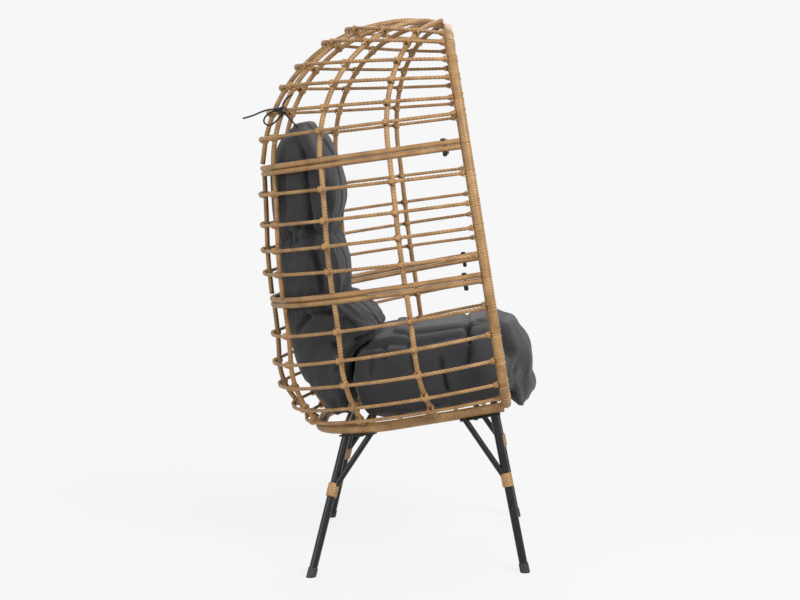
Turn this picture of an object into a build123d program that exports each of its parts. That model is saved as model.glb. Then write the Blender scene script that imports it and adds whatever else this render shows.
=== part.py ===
from build123d import *
import math
import os

# Egg-shaped garden armchair: three stacked rattan lattice sections on four splayed tube legs.
# It faces -Y, +Z is up, and it stands on Z = 0. All sizes are in millimetres.
# The basket is drawn in its own leaning frame: X to the sitter's left, Y back from the plane of
# the front rim, Z up along the rim from the upper joint between the sections.

# Lean and place of the basket
LEAN = 8
JOINT_Y = -188
JOINT_Z = 1136

# Round members, as radii over their rattan wrap, and the bores of the steel tubes
RIM_R = 13.5
RIM_BORE = 10
RING_R = 7.5
RING_BORE = 4.5
RIB_R = 7
RIB_BORE = 4
HOOP_R = 5
BASE_R = 14
BASE_BORE = 10
SEAT_BAR_R = 6
FIT = 0.2
TOUCH = 0.3

# Outline of the rim seen from the front
UPPER_HALF_WIDTH = 375
LOWER_HALF_WIDTH = 400
MIDDLE_HEIGHT = 345
APEX_HEIGHT = 322
SHOULDER_LEAN = 8.3
FRONT_BAR_DROP = 702
FRONT_BAR_HALF = 236

# Depths behind the rim plane at the middle of the back, and the slopes of the two joints
UPPER_DEPTH = 568
LOWER_DEPTH = 602
UPPER_JOINT_RISE = 12
LOWER_JOINT_SAG = 6
BASE_DEPTH = 518
BASE_DROP = 708
BASE_FRONT_HALF = 262

# Ribs from front to back: angle on the ellipse of the joint rings, place on the base tube, place
# on the top of the rim, lean at the upper joint, and the crown just behind the rim
RIB_NAMES = ["front", "side", "corner", "back"]
RIB_ANGLES = [20.5, 42.5, 67, 90]
RIB_BASES = [(276, 182), (262, 378), (130, 508), (0, BASE_DEPTH)]
RIB_TOPS = [66, 44, 22, 0]
RIB_LEANS = [3, 6, 8, 9]
CROWN_HEIGHTS = [330, 344, 353, 357]
CROWN_REACH = [55, 75, 95, 110]
HIP_DROP = 652
HIP_SHARE = 0.3

# Hoops: height at the rim and height at the back
CANOPY_HOOPS = [(78, 99), (119, 168), (172, 231), (221, 280), (267, 331), (294, 354)]
MIDDLE_HOOPS = [(-76, -52), (-153, -136), (-216, -206), (-288, -270)]
BASKET_HOOPS = [(-423, -442), (-494, -521), (-564, -586), (-629, -650), (-672, -688)]

# Seat bars across the base tube, by their depth
SEAT_BAR_DEPTHS = [60, 135, 210, 285, 360, 435]
SEAT_BAR_RISE = 13.5

# Bolts that join the sections
BOLT_SETBACK = 56
BOLT_R = 3
BOLT_HEAD_R = 7
BOLT_HEAD_HEIGHT = 4.5
BOLT_HEAD_ROUND = 3.6
NUT_R = 6
NUT_HEIGHT = 12
NUT_ROUND = 4.5
THREAD_DEPTH = 7.2
NUT_HOLE_DEPTH = 7.8

# Legs, with their feet in the frame of the floor
LEG_R = 11
LEG_BORE = 9.5
BRACE_R = 8
BRACE_BORE = 6.8
FOOT_HALF_TRACK = {"front": 322, "rear": 345}
FEET_Y = {"front": -327, "rear": 240}
LEG_DEPTHS = {"front": 36, "rear": 440}
BRACE_DEPTHS = {"front": 114, "rear": 372}
WRAP_SHARES = {"front": 0.42, "rear": 0.4}
WRAP_R = 15.5
WRAP_BELOW = 14.4
WRAP_ABOVE = 21.6
CAP_R = 13
CAP_LENGTH = 24
CAP_FLOOR = 4
PLATE_WIDTH = 24
PLATE_THICKNESS = 4
PLATE_END = 15
PLATE_BOLT_R = 3
PLATE_BOLT_HEAD_R = 5.5
PLATE_BOLT_HEAD = 4
PLATE_BOLT_SHARES = [0.36, 0.64]

# Cushions: each row is one level, from the bottom up. Widths are shares of the basket's half-width there,
# and depths are measured from the basket's back.
SEAT_UNDER = -BASE_DROP + SEAT_BAR_RISE + SEAT_BAR_R + TOUCH
SEAT_ROWS = [
    # height, width at the rim, amidships and at the rear, front reach, gap to the back
    (SEAT_UNDER, 0.56, 0.65, 0.57, -44, 222),
    (-650, 0.665, 0.755, 0.64, -83, 206),
    (-605, 0.70, 0.78, 0.66, -90, 202),
    (-560, 0.71, 0.785, 0.665, -88, 203),
    (-522, 0.69, 0.755, 0.64, -80, 210),
    (-494, 0.62, 0.67, 0.58, -65, 245),
    (-474, 0.47, 0.50, 0.43, -30, 330),
]
LIP_ROWS = [
    # height, half-width, reach of the front, the corners and the rear, in front of the rim
    (-738, 140, -60, -46, -34),
    (-726, 166, -76, -46, -19),
    (-700, 186, -86, -48, -16),
    (-672, 190, -84, -46, -16),
    (-650, 176, -66, -42, -20),
]
LIP_EDGE_ROUND = 10
BACK_ROWS = [
    # height, width, gaps from the back to the front face, the side seam and the rear face
    (SEAT_UNDER + TOUCH, 0.36, 192, 159, 124),
    (-655, 0.45, 191, 158, 108),
    (-620, 0.52, 193, 158, 80),
    (-585, 0.565, 195, 160, 58),
    (-550, 0.60, 196, 163, 47),
    (-518, 0.615, 202, 170, 42),
    (-490, 0.63, 236, 200, 38),
    (-462, 0.65, 292, 244, 34),
    (-430, 0.67, 284, 240, 32),
    (-395, 0.67, 252, 208, 32),
    (-355, 0.65, 211, 172, 36),
    (-312, 0.67, 217, 174, 33),
    (-268, 0.68, 215, 173, 31),
    (-226, 0.67, 204, 166, 30),
    (-186, 0.655, 189, 158, 30),
    (-145, 0.67, 200, 163, 27),
    (-100, 0.68, 216, 172, 23),
    (-55, 0.67, 217, 172, 23),
    (-10, 0.65, 210, 164, 26),
    (32, 0.62, 203, 156, 38),
    (70, 0.56, 191, 146, 58),
    (105, 0.44, 175, 138, 86),
    (134, 0.25, 163, 131, 102),
]
BACK_EDGE_ROUND = 26
BACK_REAR_ROUND = 21
SEAT_CORNER = 0.16
SEAT_HIP = 0.985

# Cloth tie that holds the cushion's top to a canopy hoop, beside a corner rib. Its free ends and
# its loop leave the knot along points chosen by eye.
TIE_HOOP = "canopy_hoop_2"
TIE_X = -162
TIE_R = 2.5
KNOT_R = 10.5
KNOT_LENGTH = 22
KNOT_ROUND = 4
ANCHOR_END = (-104, 432, 96)
TIE_ROUTES = {
    "tie_tail_back": [(-6, 0, 3), (-8, 26, 9), (-10, 54, 6), (-9, 82, -2), (-7, 108, -4)],
    "tie_tail_front": [(-4, 0, 4), (-14, -8, 20), (-27, -21, 31), (-42, -38, 36)],
    "tie_loop": [(4, 0, 4), (3, 24, 3), (1, 46, -5), (0, 57, -22), (1, 43, -36), (3, 22, -27), (4, 0, -8)],
}
BEND_SHARE = 0.45

BASKET = Pos(0, JOINT_Y, JOINT_Z) * Rot(-LEAN, 0, 0)
UP = Vector(0, 0, 1)
X_WAY = Vector(1, 0, 0)
CUT_LENGTH = 60
CUT_WIDTH = 1200
CUT_DEPTH = 1400


def arcs_through(points, first=None, last=None):
    """A smooth path of tangent arcs through points that lie in one plane."""
    points = [Vector(*p) for p in points]
    runs = [b - a for a, b in zip(points, points[1:])]
    ways = []
    for before, after in zip(runs, runs[1:]):
        ways.append((before.normalized() * after.length + after.normalized() * before.length).normalized())
    start = runs[0].normalized()
    end = runs[-1].normalized()
    first = Vector(*first) if first else start * (2 * start.dot(ways[0])) - ways[0]
    last = Vector(*last) if last else end * (2 * end.dot(ways[-1])) - ways[-1]
    ways = [first.normalized()] + ways + [last.normalized()]
    edges = []
    for a, b, way_a, way_b in zip(points, points[1:], ways, ways[1:]):
        edges += bend(a, b, way_a, way_b)
    return Wire(edges)


def bend(a, b, way_a, way_b):
    """Two tangent arcs from a to b, leaving along way_a and arriving along way_b."""
    run = b - a
    both = way_a + way_b
    turn = 2 * (1 - way_a.dot(way_b))
    if turn < 1e-7:
        return [Edge.make_line(a, b)]
    along = run.dot(both)
    reach = (math.sqrt(along**2 + turn * run.dot(run)) - along) / turn
    near = a + way_a * reach
    far = b - way_b * reach
    middle = (near + far) * 0.5
    return [arc(a, middle, way_a), arc(middle, b, (far - near).normalized())]


def arc(a, b, way):
    """An arc from a to b that leaves along way, or a line where it would be straight."""
    if way.cross((b - a).normalized()).length < 1e-5:
        return Edge.make_line(a, b)
    return Edge.make_tangent_arc(a, way, b)


def rod(path, radius, bore=0):
    """A round member along a path, hollow where it is a tube."""
    section = Plane(path @ 0, z_dir=path % 0)
    profile = section * Circle(radius)
    if bore:
        profile -= section * Circle(bore)
    return sweep(profile, path=path)


def bar(a, b, radius, bore=0):
    """A straight round member between two points."""
    way = b - a
    place = Plane(a, z_dir=way)
    solid = place * extrude(Circle(radius), way.length)
    if bore:
        solid -= place * extrude(Circle(bore), way.length)
    return solid


def coped(solid, point, way, radius):
    """The member with its end shaped to sit on a round tube that passes a point."""
    half = way.normalized() * CUT_LENGTH
    left = solid - bar(point - half, point + half, radius + FIT)
    return max(left.solids(), key=lambda s: s.volume)


def both_sides(points):
    """Points from the right rim to the middle of the back, and on to the left rim."""
    right = [Vector(-p.X, p.Y, p.Z) for p in points]
    return right + points[-2::-1]


def mirrored(solid):
    return mirror(solid, about=Plane.YZ)


def crossing(path, origin, normal, last=False):
    """Where a path crosses a plane: the point, and the path's direction there."""
    steps = 60
    ahead = [(path @ (i / steps) - origin).dot(normal) for i in range(steps + 1)]
    found = [i for i in range(steps) if ahead[i] * ahead[i + 1] <= 0]
    step = found[-1] if last else found[0]
    low = step / steps
    high = (step + 1) / steps
    for _ in range(30):
        half = (low + high) / 2
        if (path @ half - origin).dot(normal) * ahead[step] > 0:
            low = half
        else:
            high = half
    return path @ low, path % low


def way_at(path, point):
    """The direction of a path where it passes a point."""
    steps = 240
    nearest = min(range(steps + 1), key=lambda i: (path @ (i / steps) - point).length)
    return path % (nearest / steps)


# Parts in the basket's leaning frame, and parts in the frame of the floor
leaning = {}
upright = {}


# Joint rings: four tubes that meet in pairs at the two joints
HALF_PAIR = RING_R + TOUCH / 2


def upper_station(angle):
    turn = math.radians(angle)
    return UPPER_HALF_WIDTH * math.cos(turn), UPPER_DEPTH * math.sin(turn)


def lower_station(angle):
    turn = math.radians(angle)
    return LOWER_HALF_WIDTH * math.cos(turn), LOWER_DEPTH * math.sin(turn)


def upper_joint(depth):
    """Height of the upper joint at a depth behind the rim."""
    return UPPER_JOINT_RISE * depth / UPPER_DEPTH


def lower_joint(depth):
    """Height of the lower joint at a depth behind the rim."""
    return -MIDDLE_HEIGHT - LOWER_JOINT_SAG * depth / LOWER_DEPTH


def ring_path(half_width, station, joint, offset):
    points = [Vector(half_width, 0, joint(0) + offset)]
    for angle in RIB_ANGLES:
        x, y = station(angle)
        points.append(Vector(x, y, joint(y) + offset))
    rise = joint(1) - joint(0)
    return arcs_through(both_sides(points), first=(0, 1, rise), last=(0, -1, -rise))


ring_paths = {
    "canopy_ring": ring_path(UPPER_HALF_WIDTH, upper_station, upper_joint, HALF_PAIR),
    "middle_ring_upper": ring_path(UPPER_HALF_WIDTH, upper_station, upper_joint, -HALF_PAIR),
    "middle_ring_lower": ring_path(LOWER_HALF_WIDTH, lower_station, lower_joint, HALF_PAIR),
    "basket_ring": ring_path(LOWER_HALF_WIDTH, lower_station, lower_joint, -HALF_PAIR),
}

# Front rim: canopy arch, two middle posts and the basket's front bow
shoulder = math.radians(SHOULDER_LEAN)
shoulder_way = Vector(-math.sin(shoulder), 0, math.cos(shoulder))
arch_half = bend(Vector(UPPER_HALF_WIDTH, 0, TOUCH / 2), Vector(0, 0, APEX_HEIGHT), shoulder_way, -X_WAY)
arch_path = Wire(arch_half + [edge.mirror(Plane.YZ) for edge in arch_half])
post_foot = Vector(LOWER_HALF_WIDTH, 0, -MIDDLE_HEIGHT + TOUCH / 2)
post_head = Vector(UPPER_HALF_WIDTH, 0, -TOUCH / 2)
post_path = Wire(bend(post_foot, post_head, UP, shoulder_way))
bow_corner = Vector(FRONT_BAR_HALF, 0, -FRONT_BAR_DROP)
bow_half = bend(Vector(LOWER_HALF_WIDTH, 0, -MIDDLE_HEIGHT - TOUCH / 2), bow_corner, -UP, -X_WAY)
front_bar = Edge.make_line(bow_corner, Vector(-FRONT_BAR_HALF, 0, -FRONT_BAR_DROP))
bow_path = Wire(bow_half + [front_bar] + [edge.mirror(Plane.YZ) for edge in bow_half])
rim_paths = {"canopy": arch_path, "middle": post_path, "basket": bow_path}
leaning["canopy_rim"] = rod(arch_path, RIM_R, RIM_BORE)
leaning["middle_rim_left"] = rod(post_path, RIM_R, RIM_BORE)
leaning["middle_rim_right"] = mirrored(leaning["middle_rim_left"])
leaning["basket_rim"] = rod(bow_path, RIM_R, RIM_BORE)


def rim_ended(solid, left_end, way):
    """A member with both ends coped to the rim."""
    solid = coped(solid, left_end, way, RIM_R)
    return coped(solid, Vector(-left_end.X, left_end.Y, left_end.Z), Vector(-way.X, way.Y, way.Z), RIM_R)


ring_rims = {
    "canopy_ring": arch_path,
    "middle_ring_upper": post_path,
    "middle_ring_lower": post_path,
    "basket_ring": bow_path,
}
for name, path in ring_paths.items():
    rim_at, rim_way = crossing(ring_rims[name], path @ 1, UP)
    ring = rim_ended(rod(path, RING_R, RING_BORE), rim_at, rim_way)
    bolt_at, _ = crossing(path, Vector(0, BOLT_SETBACK, 0), Vector(0, 1, 0), last=True)
    for side in (1, -1):
        at = Vector(side * bolt_at.X, bolt_at.Y, bolt_at.Z)
        ring -= bar(at - UP * CUT_LENGTH, at + UP * CUT_LENGTH, BOLT_R + FIT)
    leaning[name] = ring

# Base tube round the seat, and the bars across it
base_points = [Vector(BASE_FRONT_HALF, 0, -BASE_DROP)] + [Vector(x, y, -BASE_DROP) for x, y in RIB_BASES]
base_path = arcs_through(both_sides(base_points), first=(0, 1, 0), last=(0, -1, 0))
base_end, rim_way = crossing(bow_path, Vector(BASE_FRONT_HALF, 0, 0), X_WAY)
leaning["base_tube"] = rim_ended(rod(base_path, BASE_R, BASE_BORE), base_end, rim_way)
seat_bars = []
for depth in SEAT_BAR_DEPTHS:
    end, way = crossing(base_path, Vector(0, depth, 0), Vector(0, 1, 0), last=True)
    start = Vector(-end.X, end.Y, end.Z)
    rise = UP * SEAT_BAR_RISE
    seat_bar = coped(bar(start + rise, end + rise, SEAT_BAR_R), end, way, BASE_R + FIT)
    seat_bars.append(coped(seat_bar, start, Vector(-way.X, way.Y, 0), BASE_R + FIT))
leaning["seat_bars"] = Compound(seat_bars)


# Ribs of each section, as paths on the left side
def canopy_rib(number):
    x, y = upper_station(RIB_ANGLES[number])
    foot = Vector(x, y, upper_joint(y) + HALF_PAIR)
    top, _ = crossing(arch_path, Vector(RIB_TOPS[number], 0, 0), X_WAY)
    inward = Vector(top.X - foot.X, top.Y - foot.Y, 0).normalized()
    crown = top - inward * CROWN_REACH[number]
    crown = Vector(crown.X, crown.Y, CROWN_HEIGHTS[number])
    lean = math.radians(RIB_LEANS[number])
    way = inward * math.sin(lean) + UP * math.cos(lean)
    chord = (crown - foot).normalized()
    crown_way = chord * (2 * chord.dot(way)) - way
    drop = (top - crown).normalized()
    return Wire([arc(foot, crown, way)] + bend(crown, top, crown_way, (drop * 2 - crown_way).normalized()))


def middle_rib(number):
    x, y = upper_station(RIB_ANGLES[number])
    head = Vector(x, y, upper_joint(y) - HALF_PAIR)
    x, y = lower_station(RIB_ANGLES[number])
    foot = Vector(x, y, lower_joint(y) + HALF_PAIR)
    return Wire(bend(foot, head, UP, (head - foot).normalized()))


def basket_rib(number):
    x, y = lower_station(RIB_ANGLES[number])
    head = Vector(x, y, lower_joint(y) - HALF_PAIR)
    x, y = RIB_BASES[number]
    foot = Vector(x, y, -BASE_DROP)
    hip = head + (foot - head) * HIP_SHARE
    return arcs_through([head, Vector(hip.X, hip.Y, -HIP_DROP), foot], first=(0, 0, -1))


rib_paths = {
    "canopy": [canopy_rib(number) for number in range(4)],
    "middle": [middle_rib(number) for number in range(4)],
    "basket": [basket_rib(number) for number in range(4)],
}
rib_seats = {
    "canopy": [(ring_paths["canopy_ring"], RING_R), (arch_path, RIM_R)],
    "middle": [(ring_paths["middle_ring_lower"], RING_R), (ring_paths["middle_ring_upper"], RING_R)],
    "basket": [(ring_paths["basket_ring"], RING_R), (base_path, BASE_R)],
}
for section, paths in rib_paths.items():
    for name, path in zip(RIB_NAMES, paths):
        rib = rod(path, RIB_R, RIB_BORE)
        for end, (seat_path, seat_r) in zip((path @ 0, path @ 1), rib_seats[section]):
            rib = coped(rib, end, way_at(seat_path, end), seat_r)
        if name == "back":
            leaning[f"{section}_rib_back"] = rib
        else:
            leaning[f"{section}_ribs_{name}"] = Compound([rib, mirrored(rib)])


# Hoops, lashed round the outside of the ribs, each in a plane of its own
def hoop_path(section, rim_height, back_height):
    back, _ = crossing(rib_paths[section][-1], UP * back_height, UP)
    origin = UP * rim_height
    normal = Vector(0, (rim_height - back_height) / back.Y, 1).normalized()
    start, _ = crossing(rim_paths[section], origin, normal)
    start = Vector(abs(start.X), start.Y, start.Z)
    meets = [crossing(path, origin, normal) for path in rib_paths[section]]
    line = [start] + [point for point, _ in meets]
    line.append(Vector(-line[-2].X, line[-2].Y, line[-2].Z))
    points = [start]
    for (point, rib_way), before, after in zip(meets, line, line[2:]):
        way = (after - before).normalized()
        outward = normal.cross(way)
        if outward.dot(Vector(point.X, point.Y, 0)) < 0:
            outward = -outward
        lift = abs(rib_way.cross(way).normalized().dot(outward))
        points.append(point + outward * ((RIB_R + HOOP_R + TOUCH) / lift))
    return arcs_through(both_sides(points))


hoop_heights = {"canopy": CANOPY_HOOPS, "middle": MIDDLE_HOOPS, "basket": BASKET_HOOPS}
hoop_paths = {}
for section, heights in hoop_heights.items():
    for number, (rim_height, back_height) in enumerate(heights, start=1):
        name = f"{section}_hoop_{number}"
        path = hoop_path(section, rim_height, back_height)
        end = path @ 1
        _, way = crossing(rim_paths[section], UP * end.Z, UP)
        leaning[name] = rim_ended(rod(path, HOOP_R), end, way)
        hoop_paths[name] = path

# Bolts and cap nuts through the paired rings
bolts = []
nuts = []
for upper, lower in (("canopy_ring", "middle_ring_upper"), ("middle_ring_lower", "basket_ring")):
    top, _ = crossing(ring_paths[upper], Vector(0, BOLT_SETBACK, 0), Vector(0, 1, 0), last=True)
    under, _ = crossing(ring_paths[lower], Vector(0, BOLT_SETBACK, 0), Vector(0, 1, 0), last=True)
    head_at = top + UP * (RING_R + FIT)
    nut_at = under - UP * (RING_R + FIT)
    head = Pos(*head_at) * extrude(Circle(BOLT_HEAD_R), BOLT_HEAD_HEIGHT)
    head = fillet(head.edges().sort_by(Axis.Z)[-1], BOLT_HEAD_ROUND)
    bolt = head + bar(nut_at - UP * THREAD_DEPTH, head_at + UP, BOLT_R)
    nut = Pos(*(nut_at - UP * NUT_HEIGHT)) * extrude(Circle(NUT_R), NUT_HEIGHT)
    nut = fillet(nut.edges().sort_by(Axis.Z)[0], NUT_ROUND)
    nut -= bar(nut_at - UP * NUT_HOLE_DEPTH, nut_at + UP, BOLT_R + FIT / 2)
    bolts += [bolt, mirrored(bolt)]
    nuts += [nut, mirrored(nut)]
leaning["ring_bolts"] = Compound(bolts)
leaning["ring_nuts"] = Compound(nuts)

# Legs: a splayed tube and a brace, on a plate bolted under the base tube
plate_top = -BASE_DROP - BASE_R - TOUCH
plate_under = plate_top - PLATE_THICKNESS
cutter = Box(CUT_WIDTH, CUT_DEPTH, 2 * CUT_LENGTH)
above_plates = BASKET * Pos(0, BASE_DEPTH / 2, plate_under + CUT_LENGTH) * cutter
floor = Pos(0, 0, -CUT_LENGTH) * cutter
sole = Pos(0, 0, CAP_FLOOR - CUT_LENGTH) * cutter
plates = []
plate_bolts = []
wraps = []
caps = []


def in_room(point):
    """A point of the basket's frame in the frame of the floor."""
    return (BASKET * Pos(*point)).position


for end in ("front", "rear"):
    leg_seat, _ = crossing(base_path, Vector(0, LEG_DEPTHS[end], 0), Vector(0, 1, 0), last=True)
    brace_seat, _ = crossing(base_path, Vector(0, BRACE_DEPTHS[end], 0), Vector(0, 1, 0), last=True)
    run = brace_seat - leg_seat
    turn = math.degrees(math.atan2(run.Y, run.X))
    middle = (leg_seat + brace_seat) * 0.5
    flat = Rot(0, 0, turn) * Box(run.length + 2 * PLATE_END, PLATE_WIDTH, PLATE_THICKNESS)
    plate = Pos(middle.X, middle.Y, (plate_top + plate_under) / 2) * flat
    for share in PLATE_BOLT_SHARES:
        at = leg_seat + run * share
        under = Vector(at.X, at.Y, plate_under)
        shank = bar(under - UP, under + UP * (PLATE_THICKNESS + TOUCH + BASE_R), PLATE_BOLT_R)
        plate -= bar(under - UP, under + UP * 2 * PLATE_THICKNESS, PLATE_BOLT_R + FIT / 2)
        head = Pos(under.X, under.Y, plate_under - PLATE_BOLT_HEAD)
        bolt = head * extrude(Circle(PLATE_BOLT_HEAD_R), PLATE_BOLT_HEAD) + shank
        plate_bolts += [bolt, mirrored(bolt)]
    plates += [plate, mirrored(plate)]
    leg_top = in_room(Vector(leg_seat.X, leg_seat.Y, plate_under))
    brace_top = in_room(Vector(brace_seat.X, brace_seat.Y, plate_under))
    foot = Vector(FOOT_HALF_TRACK[end], FEET_Y[end], 0)
    way = (leg_top - foot).normalized()
    knee = foot + (leg_top - foot) * (1 - WRAP_SHARES[end])
    brace_way = (brace_top - knee).normalized()
    leg = bar(foot - way * LEG_R, leg_top + way * 2 * LEG_R, LEG_R, LEG_BORE) - above_plates - sole
    leg = max(leg.solids(), key=lambda s: s.volume)
    brace = bar(knee, brace_top + brace_way * 2 * LEG_R, BRACE_R, BRACE_BORE) - above_plates
    brace = coped(brace, knee, way, LEG_R)
    wrap = bar(knee - way * WRAP_BELOW, knee + way * WRAP_ABOVE, WRAP_R)
    wrap -= bar(knee - way * CUT_LENGTH, knee + way * CUT_LENGTH, LEG_R + FIT)
    wrap -= bar(knee, knee + brace_way * CUT_LENGTH * 2, BRACE_R + FIT)
    wrap = max(wrap.solids(), key=lambda s: s.volume)
    cap = bar(foot - way * CAP_R, foot + way * CAP_LENGTH, CAP_R) - floor
    cap -= bar(foot - way * CAP_R, foot + way * CUT_LENGTH, LEG_R + FIT) - sole
    upright[f"leg_{end}_left"] = leg
    upright[f"leg_{end}_right"] = mirrored(leg)
    upright[f"brace_{end}_left"] = brace
    upright[f"brace_{end}_right"] = mirrored(brace)
    wraps += [wrap, mirrored(wrap)]
    caps += [max(cap.solids(), key=lambda s: s.volume)]
    caps += [mirrored(caps[-1])]
upright["leg_wraps"] = Compound(wraps)
upright["foot_caps"] = Compound(caps)
leaning["leg_plates"] = Compound(plates)
leaning["leg_bolts"] = Compound(plate_bolts)
for bolt in plate_bolts:
    at = bolt.center()
    leaning["base_tube"] -= bar(at - UP * BASE_R, at + UP * BASE_R, PLATE_BOLT_R + FIT)


# Cushions: crowned lofts that are drawn in between their tufted channels. Both rest on the seat bars, the back
# one behind the seat one.
def shell(height):
    """Half-width and depth of the basket's joint rings, carried straight between and beyond them."""
    share = min(max(-height / MIDDLE_HEIGHT, 0), 1)
    half_width = UPPER_HALF_WIDTH + (LOWER_HALF_WIDTH - UPPER_HALF_WIDTH) * share
    return half_width, UPPER_DEPTH + (LOWER_DEPTH - UPPER_DEPTH) * share


def level(height, corners):
    """A closed outline of arcs, from the middles and corners of its right half, front first."""
    front, front_corner, side, rear_corner, rear = [(x, y, height) for x, y in corners]
    left = [(-x, y, z) for x, y, z in (front_corner, side, rear_corner)]
    edges = [
        Edge.make_three_point_arc(left[0], front, front_corner),
        Edge.make_three_point_arc(front_corner, side, rear_corner),
        Edge.make_three_point_arc(rear_corner, rear, left[2]),
        Edge.make_three_point_arc(left[2], left[1], left[0]),
    ]
    return Face(Wire(edges))


def seat_level(height, front, waist, rear, front_reach, rear_gap):
    half_width, depth = shell(height)
    rear_reach = depth - rear_gap
    length = rear_reach - front_reach
    corner = front_reach + length * SEAT_CORNER
    hip = front_reach + length * SEAT_HIP
    middle = (half_width * waist, (corner + hip) / 2)
    front_corner = (half_width * front, corner)
    rear_corner = (half_width * rear, hip)
    return level(height, [(0, front_reach), front_corner, middle, rear_corner, (0, rear_reach)])


def back_level(height, width, front_gap, seam_gap, rear_gap):
    half_width, depth = shell(height)
    half = half_width * width
    near = half - BACK_EDGE_ROUND
    seam = depth - seam_gap
    front_corner = (near, seam - BACK_EDGE_ROUND)
    rear_corner = (near, seam + BACK_REAR_ROUND)
    front = (0, depth - front_gap)
    rear = (0, depth - rear_gap)
    return level(height, [front, front_corner, (half, seam), rear_corner, rear])


def lip_level(height, half, front, corner, rear):
    side = (half + LIP_EDGE_ROUND, (corner + rear) / 2)
    rear_corner = (half, rear - LIP_EDGE_ROUND / 2)
    return level(height, [(0, front), (half, corner), side, rear_corner, (0, rear)])


seat_cushion = loft([seat_level(*row) for row in SEAT_ROWS]) + loft([lip_level(*row) for row in LIP_ROWS])
back_cushion = loft([back_level(*row) for row in BACK_ROWS], ruled=True)
leaning["seat_cushion"] = seat_cushion
leaning["back_cushion"] = back_cushion

# Cloth tie: a knot round the hoop, the cord down to the cushion, two tails and a loop
knot_at, hoop_way = crossing(hoop_paths[TIE_HOOP], X_WAY * TIE_X, X_WAY)
knot_start = knot_at - hoop_way * (KNOT_LENGTH / 2)
knot_end = knot_at + hoop_way * (KNOT_LENGTH / 2)
knot = bar(knot_start, knot_end, KNOT_R)
knot = fillet(knot.edges().filter_by(GeomType.CIRCLE), KNOT_ROUND)
leaning["tie_knot"] = knot - bar(knot_start - hoop_way, knot_end + hoop_way, HOOP_R + TOUCH)
knot_room = bar(knot_start, knot_end, KNOT_R + FIT)


def tie_cord(name, points):
    """A cord that leaves the knot through points, with bends as large as its runs allow."""
    points = [knot_at + Vector(*point) for point in points]
    runs = [b - a for a, b in zip(points, points[1:])]
    radii = []
    for before, after in zip(runs, runs[1:]):
        half_turn = math.radians(before.get_angle(after) / 2)
        radii.append(BEND_SHARE * min(before.length, after.length) / math.tan(half_turn))
    path = FilletPolyline(*points, radius=radii)
    cord = rod(path, TIE_R)
    print(name, "bend radii", [round(r) for r in radii], "length", round(path.length))
    print(name, "volume", round(cord.volume), "from its length", round(path.length * math.pi * TIE_R**2))
    cord -= knot_room
    return max(cord.solids(), key=lambda s: s.volume)


anchor = bar(knot_at, Vector(*ANCHOR_END), TIE_R) - knot_room - back_cushion
leaning["tie_anchor"] = min(anchor.solids(), key=lambda s: (s.center() - knot_at).length)
for name, points in TIE_ROUTES.items():
    leaning[name] = tie_cord(name, points)

chair = {name: BASKET * shape for name, shape in leaning.items()}
chair.update(upright)

# The origin is on the floor, under the middle of the chair's box without the loose cords
box = Compound([shape for name, shape in chair.items() if name not in TIE_ROUTES]).bounding_box()
middle = box.center()
CENTRE = Pos(-middle.X, -middle.Y, -box.min.Z)

os.makedirs("parts", exist_ok=True)
for name, shape in chair.items():
    export_step(CENTRE * shape, f"parts/{name}.step")
    print(name, len(shape.solids()), round(shape.volume))
print("box", box.min, box.max, "moved by", CENTRE.position)
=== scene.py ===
# %% [markdown]
# # An egg-shaped garden armchair
# The chair is a leaning basket of steel tubes, each wound with a flat strand of synthetic rattan.
# It stands on four thin black legs. A seat cushion and a back cushion of charcoal cloth lie in it,
# and a black tape ties the back cushion to a hoop.
# The engineering model gives every piece its place and size. This lesson dresses it: it winds the
# strand, lashes the crossings, puffs up the cushions and sets up a plain studio.

# %% Load the engineering model
import bmesh
import bpy
import math
from mathutils import Matrix, Vector, noise


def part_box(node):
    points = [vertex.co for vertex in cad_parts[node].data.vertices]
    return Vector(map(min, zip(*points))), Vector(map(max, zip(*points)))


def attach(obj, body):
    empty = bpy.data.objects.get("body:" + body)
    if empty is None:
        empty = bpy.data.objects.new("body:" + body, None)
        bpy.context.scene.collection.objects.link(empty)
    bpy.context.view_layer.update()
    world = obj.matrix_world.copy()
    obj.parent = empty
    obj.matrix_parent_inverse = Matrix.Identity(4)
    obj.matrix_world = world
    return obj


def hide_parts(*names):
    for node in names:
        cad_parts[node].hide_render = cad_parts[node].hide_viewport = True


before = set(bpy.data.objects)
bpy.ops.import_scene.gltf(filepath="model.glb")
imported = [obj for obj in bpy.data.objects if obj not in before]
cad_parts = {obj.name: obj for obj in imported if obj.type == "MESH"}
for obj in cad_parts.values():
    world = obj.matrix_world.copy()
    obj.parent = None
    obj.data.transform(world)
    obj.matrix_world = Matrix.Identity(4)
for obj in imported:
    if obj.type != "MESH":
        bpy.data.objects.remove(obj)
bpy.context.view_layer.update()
scene = bpy.context.scene
scene.view_settings.view_transform = "Standard"
print("pieces in the engineering model:", len(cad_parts))

# %% [markdown]
# ## The leaning basket
# The whole basket leans back a little on its legs. Every place could be given from the floor, but
# it is easier to think in a frame that leans with the basket: X across the chair, Y back from the
# plane of the front rim, and Z up along the rim, from the joint below the hood.

# %% Frame of the basket
LEAN = math.radians(8)
HOOD_JOINT = Vector((0, -0.19791, 1.136))
BASKET = Matrix.Translation(HOOD_JOINT) @ Matrix.Rotation(-LEAN, 4, "X")
TO_BASKET = BASKET.inverted()
ACROSS = Vector((1, 0, 0))
BACK = (BASKET.to_3x3() @ Vector((0, 1, 0))).normalized()
UP = (BASKET.to_3x3() @ Vector((0, 0, 1))).normalized()


def in_basket(x, y, z):
    """A point of the leaning frame, in the frame of the floor."""
    return BASKET @ Vector((x, y, z))


print("lean of the basket in degrees:", round(math.degrees(LEAN), 1))

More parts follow.
